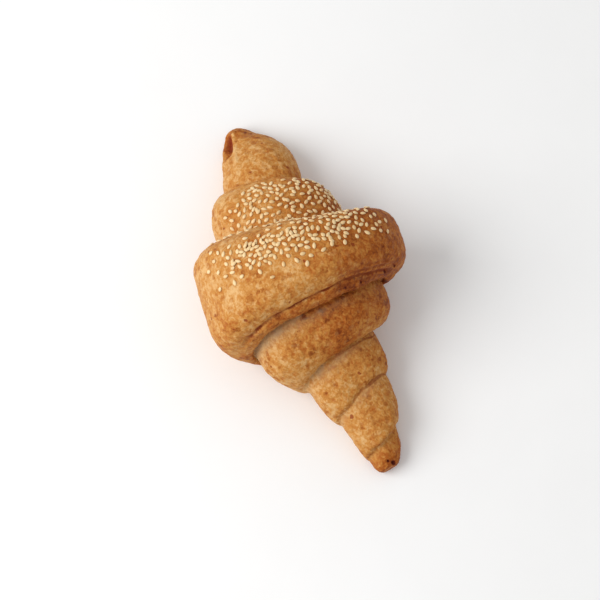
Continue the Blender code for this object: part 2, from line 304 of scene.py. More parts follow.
# What the patterns do: how much each browns the crust, and how strong one is where another is low and high,
# as (low, high, strength at low, strength at high)
FINE_BAKE = 0.24
BROAD_BAKE = 0.15
BAKE_STOPS = (("pale", 0.02), ("golden", 0.32), ("brown", 0.66), ("dark", 1.0))
SCORCH_BY_BLOTCH = (-0.7, 0.5, 0.25, 0.8)
SCORCH_DARKER = (0.35, 0.75)
BUBBLE_BY_BAKE = (0.2, 0.6, 0.42, 0.1)
CREVICE_BY_BLOTCH = (-0.8, 0.6, 0.35, 1.0)
ROUGH_BY_BLOTCH = (-1.0, 1.0, 0.64, 0.50)
CRUST_SPECULAR = 0.09
FINE_DENT, PIMPLE_DENT, BRAN_DENT = -0.35, -0.9, -0.3
CRUST_BUMP = {"Strength": 0.8, "Distance": 0.45 * MM}
SEED_ROUGHNESS = 0.42
SEED_BUMP = {"Strength": 0.25, "Distance": 0.1 * MM}
SEED_MOTTLE = 0.18
TABLE_ROUGHNESS = 0.7
TABLE_DIMMER = 0.985

# Where seeds fall: u in mm and the angle from the top, with how the band fades at its sides and along its
# near limit. Strays are the share that falls beyond it.
SEED_RANDOM = 1341
SEED_DRAWS = 9000
SEED_ZONE = (-52, 10.4)
SEED_LIMIT_ANGLE = math.radians(80)
BAND_LEFT = (math.radians(-54), math.radians(-18))
BAND_RIGHT = (math.radians(55), math.radians(36))
NEAR_LIMIT = (
    (math.radians(-80), -6 * MM), (math.radians(-51), -2 * MM), (math.radians(-30), 3 * MM),
    (0.0, 6.5 * MM), (math.radians(57), 5.5 * MM), (math.radians(80), 4 * MM),
)
NEAR_FADE = (-7 * MM, 2 * MM)
STRAYS = 0.015

# The seeds lie in clumps, and leave the outer band's far edge bare on the left
SEED_CLUMP = 12 * MM
SEED_CLUMP_PACE = 3
SEED_CLUMP_SHIFT = 2.5
SEED_CLUMPING = 0.5
SEED_EVENNESS = 0.8
BARE_SIDE = (math.radians(30), math.radians(-5))
BARE_EDGE = (11 * MM, 4 * MM)

# The far ring's seeds: their density, its left side, the strip left bare at its own edge, and how that widens
RING_DENSITY = 0.62
RING_LEFT = (math.radians(-60), math.radians(-46))
RING_CLEAR = 2 * MM
RING_BARE = math.radians(42)
RING_FADE = 15 * MM

# Each seed is dropped from outside towards a point below the axis, and lies as the crust round it does
DROP_HEIGHT = 0.2
DROP_AIM = 0.6
NEARBY = [Vector(step) * MM for step in ((1.2, 0, 0), (-1.2, 0, 0), (0, 1.2, 0), (0, -1.2, 0))]

# A seed's form, from a ball 1 across: how pointed and how rounded its ends are, and how flat it is below
BALL_RADIUS = 0.5
SEED_SEGMENTS, SEED_RINGS = 10, 7
POINTED, POINTED_POWER = 0.36, 1.5
ROUNDED = 0.06
FLAT_BELOW = 0.85

# How seeds differ and lie: tilts in degrees, heights as shares of their thickness, and changes as shares of
# their size
SEED_TILT, PILED_TILT = 9, 11
SEED_LIFT, PILED_LIFT = 0.24, 0.42
MOST_BELOW = 2
LENGTH_CHANGE, WIDTH_CHANGE, THICKNESS_CHANGE = 0.13, 0.1, 0.12
SEED_TONES = 0.55
TOASTED_SHARE, TOASTED_MORE = 0.15, 0.3

# The stage. The key light's direction is in the camera's right, up and back.
TABLE_SIZE = 6
TABLE_GAP = 0.1 * MM
CLIP_START = 0.01
KEY_DIRECTION = (-0.72, 0.06, 0.68)
KEY_DISTANCE = 1.1
KEY_SIZE = 0.9


def length_setting(name, description, default):
    return FloatProperty(name=name, description=description, default=default, unit="LENGTH")


def colour_setting(name, description, default):
    return FloatVectorProperty(name=name, description=description, default=default, size=3, subtype="COLOR")


class CroissantDough(bpy.types.PropertyGroup):
    """Fineness and relief of the crust."""

    voxel: length_setting("Voxel", "Size of the crust's mesh faces", 0.72 * MM)
    uneven_height: length_setting("Unevenness", "Height of the swellings a finger wide", 0.5 * MM)
    blister_height: length_setting("Blisters", "Height of the small blisters", 0.28 * MM)
    wrinkle_height: length_setting("Wrinkles", "Height of the stretch lines along the rims", 0.22 * MM)
    crack_depth: length_setting("Crack", "Depth of the crack over the cut edge", 0.65 * MM)


class CroissantSeeds(bpy.types.PropertyGroup):
    """Number and size of the sesame seeds."""

    count: IntProperty(name="Count", description="Most sesame seeds there can be", default=440, min=1)
    length: length_setting("Length", "Length of a seed", 2.75 * MM)
    width: length_setting("Width", "Width of a seed", 1.82 * MM)
    thickness: length_setting("Thickness", "Thickness of a seed", 1.0 * MM)
    spacing: length_setting("Spacing", "Least distance where the seeds lie thick", 1.7 * MM)
    thinning: length_setting("Thinning", "Added to the distance where they lie thin", 2.6 * MM)
    pile_spacing: length_setting("Pile spacing", "Least distance of seeds that pile up", 1.25 * MM)
    piled: FloatProperty(
        name="Piled", description="Share of the seeds that may lie on others", default=0.02, subtype="FACTOR"
    )


class CroissantColours(bpy.types.PropertyGroup):
    """Colours of the crust, the seeds and the table."""

    pale: colour_setting("Pale dough", "Least baked crust", (0.70, 0.42, 0.175))
    golden: colour_setting("Golden", "Golden crust", (0.56, 0.245, 0.054))
    brown: colour_setting("Brown", "Well baked crust", (0.40, 0.109, 0.015))
    dark: colour_setting("Dark", "Darkest crust", (0.17, 0.030, 0.004))
    # Pale dough in the crevices, also painted as light under the rims on the left, the lit side
    crevice_and_painted_light: colour_setting("Crevice", "Dough under a rim", (0.50, 0.34, 0.19))
    # Bran's colour is also painted over the pocket and the holes, as shade
    bran: colour_setting("Bran", "Flecks of bran", (0.24, 0.034, 0.007))
    scorch: colour_setting("Scorch", "Small browned spots", (0.40, 0.125, 0.018))
    # The crack's colour is also used for the painted shadow line under the inner rims
    crack: colour_setting("Crack", "Inside of the crack", (0.21, 0.036, 0.006))
    # Painted shade: the near-black inside of the small holes
    hole_and_painted_shade: colour_setting("Hole", "Small holes", (0.10, 0.012, 0.003))
    seed: colour_setting("Seed", "Body of a seed", (0.84, 0.62, 0.33))
    seed_toasted: colour_setting("Toasted", "Toasted seed", (0.70, 0.45, 0.19))
    table: colour_setting("Table", "The table", (0.95, 0.95, 0.945))


class CroissantStage(bpy.types.PropertyGroup):
    """Camera and light."""

    azimuth: FloatProperty(
        name="Azimuth", description="Turn of the camera", default=math.radians(65.2), subtype="ANGLE"
    )
    elevation: FloatProperty(
        name="Elevation", description="Height of the camera", default=math.radians(75), subtype="ANGLE"
    )
    distance: length_setting("Distance", "Camera to croissant", 0.9)
    aim: FloatVectorProperty(
        name="Aim", description="Point in the middle of the picture", size=3, subtype="XYZ", unit="LENGTH",
        default=(6.1 * MM, -6.1 * MM, 31.8 * MM),
    )
    lens: FloatProperty(name="Lens", description="Focal length in millimetres", default=113.4)
    key_power: FloatProperty(name="Key light", description="Power of the soft key light", default=9.2)
    sky: FloatProperty(name="Sky", description="Strength of the light from all round", default=0.60)


def through(stations, at):
    """Values at the given places on the smooth curve through the stations, each a (place, value)."""
    places, values = np.array(stations).T
    slopes = np.empty_like(values)
    slopes[1:-1] = (values[2:] - values[:-2]) / (places[2:] - places[:-2])
    slopes[0] = (values[1] - values[0]) / (places[1] - places[0])
    slopes[-1] = (values[-1] - values[-2]) / (places[-1] - places[-2])
    at = np.clip(at, places[0], places[-1])
    i = np.clip(np.searchsorted(places, at) - 1, 0, len(places) - 2)
    span = places[i + 1] - places[i]
    f = (at - places[i]) / span
    rise = values[i + 1] - values[i]
    start, end = slopes[i] * span, slopes[i + 1] * span
    return values[i] + f * start + f ** 2 * (3 * rise - 2 * start - end) + f ** 3 * (start + end - 2 * rise)


def smooth_step(low, high, value):
    f = np.clip((value - low) / (high - low), 0.0, 1.0)
    return f * f * (3 - 2 * f)


def bell(value, middle, width):
    """1 at the middle, falling away on either side over about the width."""
    return np.exp(-((value - middle) / width) ** 2)


def crown_radius(turn, u):
    """Half width at the crown of the layer that lies so many turns in."""
    layer = np.clip(np.floor(turn), 0, len(NEAR_RADII) - 2).astype(int)
    step = smooth_step(STEP_START, 1.0, turn - layer)
    near = NEAR_RADII[layer] + step * (NEAR_RADII[layer + 1] - NEAR_RADII[layer])
    far = FAR_RADII[layer] + step * (FAR_RADII[layer + 1] - FAR_RADII[layer])
    return far + smooth_step(-SIDE_BLEND, SIDE_BLEND, u) * (near - far)


def wander(turn, side):
    """The unevenness of an edge that was cut and stretched by hand."""
    waves = [share * np.sin(2 * math.pi * pace * turn + phase * side) for pace, phase, share in EDGE_WAVES]
    return EDGE_WANDER * sum(waves)


def edge_distance(turn, side):
    return through(NEAR_EDGE if side > 0 else FAR_EDGE, turn)


def angle_of(turn):
    """Angle round the axis from the top towards +Y: the sheet's tip is underneath."""
    return math.pi - 2 * math.pi * turn


def turn_at(angle):
    """The turn of the outermost layer at an angle."""
    return TOP_TURN - angle / (2 * math.pi)


def edge_power(turn):
    return TOP_POWER + (SIDE_POWER - TOP_POWER) * np.sin(angle_of(turn)) ** 2


def arch_radius(turn, u):
    """Radius of a layer's outside at u, or nothing beyond its edge."""
    edge = np.where(u > 0, edge_distance(turn, 1), edge_distance(turn, -1))
    share = np.minimum(np.abs(u) / edge, 1.0)
    return crown_radius(turn, u) * (1 - TAPER * share ** 2) * np.sqrt(1 - share ** edge_power(turn))


def spread_of(angle):
    return np.where(np.cos(angle) > 0, SPREAD_UP, SPREAD_DOWN)


def place(u, radius, angle, layer_radius):
    """World places of points at u, a radius and an angle, on the axis of a layer of the given radius."""
    sideways = through(AXIS_SHIFT, u) + radius * np.sin(angle)
    height = AXIS_HEIGHT * layer_radius + radius * np.cos(angle) * spread_of(angle)
    return np.stack([RIDGE_X + u, sideways, np.maximum(height, -BELOW_FLOOR)], axis=-1)


def covered_radius(u, turn, layer_radius):
    """Radius at u of the dough that a layer lies on, measured from that layer's own axis."""
    angle = angle_of(turn)
    sheet = np.where(turn + 1 < SHEET_TURNS, arch_radius(turn + 1, u), 0.0)
    inner = np.minimum(np.maximum(through(HEART, u), sheet), layer_radius)
    drop = AXIS_HEIGHT * (layer_radius - inner) / spread_of(angle)
    across = np.maximum(inner ** 2 - (np.sin(angle) * drop) ** 2, 0.0)
    return np.maximum(np.sqrt(across) - np.cos(angle) * drop, 2 * INNER_RADIUS)


def rim_of(turn, side):
    """Width, undercut, height and gap of a layer's rim, blended from each turn of the sheet to the next."""
    rims = np.array(NEAR_RIMS if side > 0 else FAR_RIMS)
    layer = min(int(turn), len(rims) - 1)
    after = min(layer + 1, len(rims) - 1)
    step = float(smooth_step(STEP_START, 1.0, turn - layer))
    return rims[layer] + step * (rims[after] - rims[layer])


def half_section(turn, side):
    """Points (u, radius) of one side of the sheet's section: crown, rim and the way back under it."""
    width, undercut, height, gap = rim_of(turn, side)
    edge = float(edge_distance(turn, side) + wander(turn, side))
    width = width * (1 - SIDE_NARROWING * math.sin(angle_of(turn)) ** 2)
    reach = edge - width
    layer_radius = float(crown_radius(turn, side * edge))
    floor = float(covered_radius(side * edge, turn, layer_radius))
    crown = layer_radius * (1 - TAPER)
    step = max(crown - floor, LEAST_STEP)
    top, lip = floor + height * step, floor + gap * step
    power = float(edge_power(turn))
    lowest = (1 - min(top / crown, RIM_TOP_LIMIT) ** 2) ** (1 / power)
    quarter = math.pi / 2 * (np.arange(ARCH_POINTS) + 0.5) / ARCH_POINTS
    shares = lowest * np.sin(quarter) ** ARCH_CROWDING
    arch_u = reach * shares / lowest
    arch_r = crown_radius(turn, side * arch_u) * (1 - TAPER * shares ** 2) * np.sqrt(1 - shares ** power)
    rounding = np.linspace(0, math.pi / 2, RIM_POINTS)
    rim_u = reach + width * np.sin(rounding)
    rim_r = lip + (top - lip) * np.cos(rounding) ** RIM_FULLNESS
    back = np.linspace(0, 1, UNDER_POINTS)[1:]
    under_u = edge - undercut * back
    under_r = covered_radius(side * under_u, turn, layer_radius) - RIM_BITE * back
    under_r = under_r + (lip - floor) * (1 - back) ** UNDERCUT_FULLNESS
    u = side * np.concatenate((arch_u, rim_u, under_u, (edge - undercut,)))
    radius = np.concatenate((arch_r, rim_r, under_r, (INNER_RADIUS,)))
    return u, radius


def mesh_object(name, points, faces):
    mesh = bpy.data.meshes.new(name)
    mesh.from_pydata([tuple(point) for point in points], [], faces)
    item = bpy.data.objects.new(name, mesh)
    bpy.context.scene.collection.objects.link(item)
    return item


def roll_sheet():
    """The rolled sheet: its section swept round the axis from its tip inwards, closed at both ends."""
    points, faces = [], []
    turns = np.arange(int(SHEET_TURNS * SECTIONS_PER_TURN) + 1) / SECTIONS_PER_TURN
    for i, turn in enumerate(turns):
        far_u, far_radius = half_section(turn, -1)
        near_u, near_radius = half_section(turn, 1)
        u = np.concatenate((far_u[::-1], near_u))
        radius = np.concatenate((far_radius[::-1], near_radius))
        points.append(place(u, radius, angle_of(turn), crown_radius(turn, u)))
        count = len(u)
        first, second = (i - 1) * count, i * count
        if i:
            after = [(k + 1) % count for k in range(count)]
            faces += [(first + k, first + after[k], second + after[k], second + k) for k in range(count)]
    faces.append(tuple(range(count)))
    faces.append(tuple(range(len(turns) * count - 1, (len(turns) - 1) * count - 1, -1)))
    return mesh_object("sheet", np.concatenate(points), faces)


def shape_heart():
    """The heart: a ball drawn out along the roll, which shows as the far cone and as the near tip."""
    bpy.ops.mesh.primitive_uv_sphere_add(segments=HEART_SIDES, ring_count=HEART_STATIONS, radius=1)
    heart = bpy.context.object
    ball = read_points(heart.data)
    u = (NEAR_REACH - FAR_REACH) / 2 + ball[:, 2] * (NEAR_REACH + FAR_REACH) / 2
    angle = np.arctan2(ball[:, 1], -ball[:, 0])
    at_pole = np.abs(ball[:, 2]) > 1 - 1e-6
    radius = np.where(at_pole, 0.0, through(HEART, u))
    write_points(heart.data, place(u, radius, angle, np.maximum(through(HEART, u), NOSE_RADIUS)))
    return heart


def read_points(mesh):
    flat = np.empty(len(mesh.vertices) * 3)
    mesh.vertices.foreach_get("co", flat)
    return flat.reshape(-1, 3)


def read_normals(mesh):
    flat = np.empty(len(mesh.vertices) * 3)
    mesh.vertices.foreach_get("normal", flat)
    return flat.reshape(-1, 3)


def read_edges(mesh):
    flat = np.empty(len(mesh.edges) * 2, dtype=int)
    mesh.edges.foreach_get("vertices", flat)
    return flat.reshape(-1, 2)


def write_points(mesh, points):
    mesh.vertices.foreach_set("co", points.ravel())
    mesh.update()


def select_only(*items):
    bpy.ops.object.select_all(action="DESELECT")
    for item in items:
        item.select_set(True)
    bpy.context.view_layer.objects.active = items[0]


def face_outwards(item):
    select_only(item)
    bpy.ops.object.mode_set(mode="EDIT")
    bpy.ops.mesh.select_all(action="SELECT")
    bpy.ops.mesh.normals_make_consistent(inside=False)
    bpy.ops.object.mode_set(mode="OBJECT")


def apply_modifier(item, kind, **settings):
    modifier = item.modifiers.new(kind.lower(), kind)
    for name, value in settings.items():
        setattr(modifier, name, value)
    select_only(item)
    bpy.ops.object.modifier_apply(modifier=modifier.name)


def keep_largest_body(item):
    """Takes out the small closed shells that can be left inside the roll."""
    select_only(item)
    bpy.ops.object.mode_set(mode="EDIT")
    bpy.ops.mesh.select_all(action="DESELECT")
    mesh = bmesh.from_edit_mesh(item.data)
    top = max(mesh.verts, key=lambda vertex: vertex.co.z)
    top.select_set(True)
    mesh.select_flush(True)
    bmesh.update_edit_mesh(item.data)
    bpy.ops.mesh.select_linked()
    bpy.ops.mesh.select_all(action="INVERT")
    bpy.ops.mesh.delete(type="VERT")
    bpy.ops.object.mode_set(mode="OBJECT")


def rough(points, size, shift):
    """Smooth noise over the points, with features of the given size."""
    scaled = points / size + shift
    return np.array([noise.noise(point) for point in scaled.tolist()])


def softened(values, edges, rounds):
    """Values at the points of a mesh, averaged with their neighbours a number of times."""
    first, second = edges.T
    ends = np.concatenate((first, second))
    others = np.concatenate((second, first))
    count = np.bincount(ends, minlength=len(values))
    for _ in range(rounds):
        if values.ndim == 1:
            total = np.bincount(ends, weights=values[others], minlength=len(values))
            values = 0.5 * values + 0.5 * total / count
        else:
            values = np.stack([softened(column, edges, 1) for column in values.T], axis=-1)
    return values


def read_roll(points):
    """For each point of the crust: u, the layer it lies on, its turns, and its distances from the edges."""
    u = points[:, 0] - RIDGE_X
    count = len(points)
    found = np.zeros(count, dtype=bool)
    layer = np.full(count, len(NEAR_RIMS))
    turn = np.full(count, float(len(NEAR_RIMS)))
    near_gap = np.full(count, FAR_AWAY)
    far_gap = np.full(count, FAR_AWAY)
    for index in range(len(NEAR_RIMS)):
        crown = crown_radius(np.full(count, float(index)), u)
        sideways = points[:, 1] - through(AXIS_SHIFT, u)
        upwards = points[:, 2] - AXIS_HEIGHT * crown
        upwards = upwards / np.where(upwards > 0, SPREAD_UP, SPREAD_DOWN)
        turns = index + (math.pi - np.arctan2(sideways, upwards)) / (2 * math.pi)
        near = edge_distance(turns, 1) + wander(turns, 1) - u
        far = edge_distance(turns, -1) + wander(turns, -1) + u
        above = np.hypot(sideways, upwards) - covered_radius(u, turns, crown)
        gap = np.minimum(near, far)
        mine = ~found & (gap > -EDGE_SLACK) & ((above > LEAST_RISE) | (gap > WELL_INSIDE))
        layer[mine], turn[mine], near_gap[mine], far_gap[mine] = index, turns[mine], near[mine], far[mine]
        found |= mine
    return {"u": u, "layer": layer, "turn": turn, "near_gap": near_gap, "far_gap": far_gap}


def along_line(points, line):
    """How far along a line of points each point lies, as a share of it, and its distance from the line."""
    lengths = np.linalg.norm(np.diff(line, axis=0), axis=1)
    before = np.concatenate(((0.0,), np.cumsum(lengths)))
    nearest = np.full(len(points), FAR_AWAY)
    share = np.zeros(len(points))
    for i, length in enumerate(lengths):
        way = line[i + 1] - line[i]
        f = np.clip((points - line[i]) @ way / length ** 2, 0, 1)
        distance = np.linalg.norm(points - line[i] - f[:, None] * way, axis=1)
        closer = distance < nearest
        nearest[closer] = distance[closer]
        share[closer] = (before[i] + f[closer] * length) / before[-1]
    return share, nearest


def end_relief(points):
    """Height of the far end's forms and of the holes, with masks of the painted shade in the pocket and the
    holes, of the seam and of the pocket.
    """
    seam_share, seam_far = along_line(points, FAR_SEAM)
    seam = bell(seam_far, 0, SEAM_WIDTH) * (1 - smooth_step(*SEAM_FADE, seam_share))
    share, distance = along_line(points, POCKET)
    pocket = (1 - smooth_step(*POCKET_WALL, distance / POCKET_REACH)) * (1 - smooth_step(*POCKET_FADE, share))
    pocket = pocket * smooth_step(*POCKET_CLEAR, seam_far)
    height = SEAM_RISE * seam - POCKET_DEPTH * pocket
    # Painted shade inside the pocket, darkest under the hood
    dark = pocket * (1 - POCKET_SHADE_EASING * smooth_step(*POCKET_SHADE_FADE, share))
    for centre, size, rise in BUMPS:
        reach = np.linalg.norm(points - np.array(centre) * MM, axis=1)
        height = height + rise * MM * bell(reach, 0, size * MM)
    for centre, size in HOLES:
        reach = np.linalg.norm((points - np.array(centre) * MM) * HOLE_SHAPE, axis=1) / (size * MM)
        hole_and_painted_shade = 1 - smooth_step(*HOLE_WALL, reach)
        height = height - HOLE_DEPTH * size * MM * hole_and_painted_shade
        # The holes are painted dark as shade too
        dark = np.maximum(dark, hole_and_painted_shade)
    return height, dark, seam, pocket


def strip_width(turn):
    """Width of the cut edge that shows on the outermost layer's near rim."""
    return NEAR_RIMS[0][0] * (1 - SIDE_NARROWING * np.sin(angle_of(turn)) ** 2)


def past_crack(roll):
    """Distance of each point from the crack that runs where the outermost layer's cut edge starts."""
    return roll["near_gap"] - strip_width(roll["turn"])


def past_lip(roll):
    """Distance of each point beyond the nearest near rim, below 0 on the layer that the rim ends."""
    own = -roll["near_gap"]
    above = roll["u"] - edge_distance(roll["turn"] - 1, 1) - wander(roll["turn"] - 1, 1)
    above = np.where(roll["layer"] > 0, above, FAR_AWAY)
    nearest = np.where(np.abs(own) < np.abs(above), own, above)
    return np.clip(nearest, -LIP_REACH, LIP_REACH)


def crack_strength(roll):
    """How open the crack is along its length, and how much its companions beside it show, from 0 to 1."""
    opened = (roll["layer"] == 0) * smooth_step(*CRACK_LIMITS, np.abs(roll["turn"] - TOP_TURN))
    return opened, opened * smooth_step(*COMPANION_LIMITS, roll["turn"])


def crust_relief(points, normals, roll, settings):
    """Moves the crust's points in and out for swellings, blisters, stretch lines and the crack."""
    blisters = rough(points, *BLISTERS).clip(BLISTER_FLOOR, 1)
    blisters = blisters + SMALL_BLISTER_SHARE * rough(points, *SMALL_BLISTERS)
    stretched = (roll["turn"] * STRETCH_PACE, roll["near_gap"] / STRETCH_WIDTH, roll["layer"] * STRETCH_SHIFT)
    lines = np.array([noise.noise(point) for point in np.stack(stretched, axis=-1).tolist()])
    rim_zone = np.exp(-np.minimum(roll["near_gap"], roll["far_gap"]).clip(0) / RIM_ZONE)
    height = settings.uneven_height * rough(points, *SWELLINGS) + settings.blister_height * blisters
    height = height + settings.wrinkle_height * lines * (STRETCH_EVERYWHERE + rim_zone)
    opened, companions = crack_strength(roll)
    past = past_crack(roll)
    groove = opened * bell(past, 0, CRACK_HALF_WIDTH)
    for distance, strength in COMPANION_CRACKS:
        groove = np.maximum(groove, companions * strength * bell(past, distance, CRACK_HALF_WIDTH))
    return points + normals * (height - settings.crack_depth * groove)[:, None]


def standing_out(points, mesh_edges):
    """How far each point stands out from its softened surroundings, below 0 in a crevice."""
    smoothed = softened(points, mesh_edges, SOFT_ROUNDS)
    outward = points - BODY_CENTRE
    outward = outward / np.linalg.norm(outward, axis=1, keepdims=True)
    return softened(((points - smoothed) * outward).sum(axis=1) / RIDGE_HEIGHT, mesh_edges, RIDGE_ROUNDS)


def bake_and_painted_shade_mask(points, roll, ridge):
    """How baked each point of the crust is, from 0 to 1, with painted shade in it: part of the browning on the
    right, the side away from the key light, and the browning on the outer band's near slope.
    """
    outer = roll["layer"] == 0
    right = smooth_step(*RIGHT_SIDE, points[:, 1])
    far_cone = smooth_step(*FAR_CONE, roll["u"])
    crown = bell(roll["turn"] - roll["layer"], *CROWN) * (roll["u"] > 0) * np.array(CROWN_BAKE)[roll["layer"]]
    strip = outer * smooth_step(*STRIP, roll["near_gap"] / strip_width(roll["turn"]))
    # Browner on the right, away from the key light, less on the far cone: partly browning, partly painted
    # shade
    bake_and_painted_shade = PLAIN_BAKE + RIGHT_BAKE_AND_SHADE * right * (1 - FAR_CONE_PALER * far_cone)
    bake_and_painted_shade = bake_and_painted_shade + RIDGE_BAKE * ridge.clip(*RIDGE_LIMITS)
    # Painted shade on the outer band's near slope, and the browner crowns
    bake_and_painted_shade = bake_and_painted_shade + SLOPE_PAINTED_SHADE * bell(roll["near_gap"], *SLOPE) * outer + crown
    bake_and_painted_shade = bake_and_painted_shade + strip * (STRIP_BAKE + STRIP_RIGHT_BAKE_AND_SHADE * right)
    bake_and_painted_shade = bake_and_painted_shade + HOOD_BAKE * smooth_step(*HOOD, roll["u"]) + TIP_BAKE * smooth_step(*TIP, roll["u"])
    return (bake_and_painted_shade + UNEVEN_BAKE * rough(points, *UNEVEN_BAKING)).clip(0, MOST_BAKED)


def crevice_and_painted_light_mask(points, roll, ridge, mesh_edges):
    """How pale the dough is in the crevices and under each near rim, from 0 to 1. Under the rims it is much
    paler on the left, the lit side, which is painted light.
    """
    left = smooth_step(*LEFT_SIDE, points[:, 1])
    below_lip = bell(np.abs(roll["u"] - edge_distance(roll["turn"] - 1, 1)), 0, BELOW_LIP_WIDTH)
    below_lip = below_lip * (roll["layer"] > 0) * (BELOW_LIP_PALE + BELOW_LIP_PAINTED_LIGHT_LEFT * left)
    deep = CREVICE_SHARE * (-ridge / CREVICE_DEPTH).clip(0, 1)
    return softened(np.maximum(deep, below_lip), mesh_edges, CREVICE_ROUNDS).clip(0, 1)


def crust_masks(points, roll, mesh_edges, dark, seam, pocket):
    """The masks and distances that the crust's material reads, by name."""
    ridge = standing_out(points, mesh_edges)
    # The pocket's inside is painted browner, as shade
    bake_and_painted_shade = bake_and_painted_shade_mask(points, roll, ridge) * (1 - SEAM_PALER * seam) + POCKET_PAINTED_SHADE * pocket
    opened, companions = crack_strength(roll)
    broken = CRACK_LEAST + (1 - CRACK_LEAST) * smooth_step(*CRACK_BREAKS, rough(points, *BROKEN_CRACK))
    lip_shadow_right = smooth_step(*LIP_SHADOW_SIDES, points[:, 1])
    return {
        "bake_and_painted_shade": bake_and_painted_shade,
        "crevice_and_painted_light": crevice_and_painted_light_mask(points, roll, ridge, mesh_edges) * (1 - pocket),
        # Painted shade in the pocket and the holes
        "hole_and_painted_shade": dark,
        "past crack": past_crack(roll),
        "crack": opened * broken,
        "companions": companions * broken,
        "past lip": past_lip(roll),
        # Painted shadow line under the inner rims, stronger on the right, away from the key light
        "painted lip shadow": (roll["layer"] > 1) * (LIP_SHADOW_LEFT + LIP_SHADOW_MORE_RIGHT * lip_shadow_right),
    }


def write_mask(mesh, name, values):
    layer = mesh.attributes.new(name, "FLOAT", "POINT")
    layer.data.foreach_set("value", values.astype(np.float32))


def new_node(tree, kind, inputs=None, **settings):
    made = tree.nodes.new(kind)
    for name, value in settings.items():
        setattr(made, name, value)
    for name, value in (inputs or {}).items():
        if isinstance(value, bpy.types.NodeSocket):
            tree.links.new(value, made.inputs[name])
        else:
            made.inputs[name].default_value = value
    return made


def arithmetic(tree, operation, *values):
    return new_node(tree, "ShaderNodeMath", dict(enumerate(values)), operation=operation).outputs[0]


def vector_step(tree, operation, first, second):
    made = new_node(tree, "ShaderNodeVectorMath", {0: first, 1: second}, operation=operation)
    return made.outputs["Value" if operation == "DISTANCE" else "Vector"]


def remap(tree, value, low, high, to_low=0.0, to_high=1.0):
    inputs = {"Value": value, "From Min": low, "From Max": high, "To Min": to_low, "To Max": to_high}
    return new_node(tree, "ShaderNodeMapRange", inputs, interpolation_type="SMOOTHSTEP").outputs["Result"]


def blend_colours(tree, factor, first, second):
    made = new_node(tree, "ShaderNodeMix", data_type="RGBA")
    for index, value in ((0, factor), (6, first), (7, second)):
        if isinstance(value, bpy.types.NodeSocket):
            tree.links.new(value, made.inputs[index])
        else:
            made.inputs[index].default_value = value
    return made.outputs[2]


def mask_of(tree, name):
    return new_node(tree, "ShaderNodeAttribute", attribute_name=name).outputs["Fac"]


def solid_colour(colour):
    return (*colour, 1.0)


def new_group(name, inputs, output):
    """A shader node group with a vector, the named numbers and one value out, with its two end nodes."""
    group = bpy.data.node_groups.new(name, "ShaderNodeTree")
    group.interface.new_socket("Vector", in_out="INPUT", socket_type="NodeSocketVector")
    for label in inputs:
        group.interface.new_socket(label, in_out="INPUT", socket_type="NodeSocketFloat")
    group.interface.new_socket(output, in_out="OUTPUT", socket_type="NodeSocketFloat")
    return group, group.nodes.new("NodeGroupInput").outputs, group.nodes.new("NodeGroupOutput").inputs


def blotch_group():
    """Soft uneven blotches of two sizes, as a value about 0 that goes from -1 to 1."""
    group, given, result = new_group("baking blotches", ("Large scale", "Small scale"), "Blotches")
    large = new_node(group, "ShaderNodeTexNoise", {
        "Vector": given["Vector"], "Scale": given["Large scale"],
        "Detail": 3.0, "Roughness": 0.6, "Distortion": 0.6,
    })
    small = new_node(group, "ShaderNodeTexNoise", {
        "Vector": given["Vector"], "Scale": given["Small scale"], "Detail": 2.0, "Distortion": 0.3,
    })
    both = zip((large, small), BLOTCH_LIMITS)
    total = arithmetic(group, "ADD", *(remap(group, size.outputs["Fac"], *limits) for size, limits in both))
    group.links.new(arithmetic(group, "MULTIPLY", total, BLOTCH_SHARE), result["Blotches"])
    return group


def fleck_group():
    """Small round flecks scattered in some of the cells of a pattern, as a mask from 0 to 1."""
    group, given, result = new_group("flecks", ("Scale", "Size", "Share", "Softness"), "Mask")
    bend = new_node(group, "ShaderNodeTexNoise", {
        "Vector": given["Vector"], "Scale": FLECK_BEND_SCALE, "Detail": 1.0,
    })
    shift = vector_step(group, "MULTIPLY", bend.outputs["Color"], (FLECK_BEND, FLECK_BEND, FLECK_BEND))
    bent = vector_step(group, "ADD", given["Vector"], shift)
    cells = new_node(group, "ShaderNodeTexVoronoi", {"Vector": bent, "Scale": given["Scale"]})
    chance = new_node(group, "ShaderNodeSeparateColor", {"Color": cells.outputs["Color"]})
    size = arithmetic(group, "MULTIPLY", given["Size"], chance.outputs["Green"])
    inside = arithmetic(group, "SUBTRACT", size, cells.outputs["Distance"])
    spot = remap(group, inside, 0.0, given["Softness"])
    chosen = arithmetic(group, "LESS_THAN", chance.outputs["Red"], given["Share"])
    group.links.new(arithmetic(group, "MULTIPLY", spot, chosen), result["Mask"])
    return group


def shared_group(name, make):
    return bpy.data.node_groups.get(name) or make()


def use_group(tree, group, **inputs):
    made = tree.nodes.new("ShaderNodeGroup")
    made.node_tree = group
    for name, value in inputs.items():
        socket = made.inputs[name.replace("_", " ").capitalize()]
        if isinstance(value, bpy.types.NodeSocket):
            tree.links.new(value, socket)
        else:
            socket.default_value = value
    return made.outputs[0]


def new_material(name, values):
    """A material with its nodes and its shader, which has the given values on its sockets."""
    material = bpy.data.materials.new(name)
    material.use_nodes = True
    shader = material.node_tree.nodes["Principled BSDF"]
    for socket, value in values.items():
        shader.inputs[socket].default_value = value
    return material, material.node_tree, shader


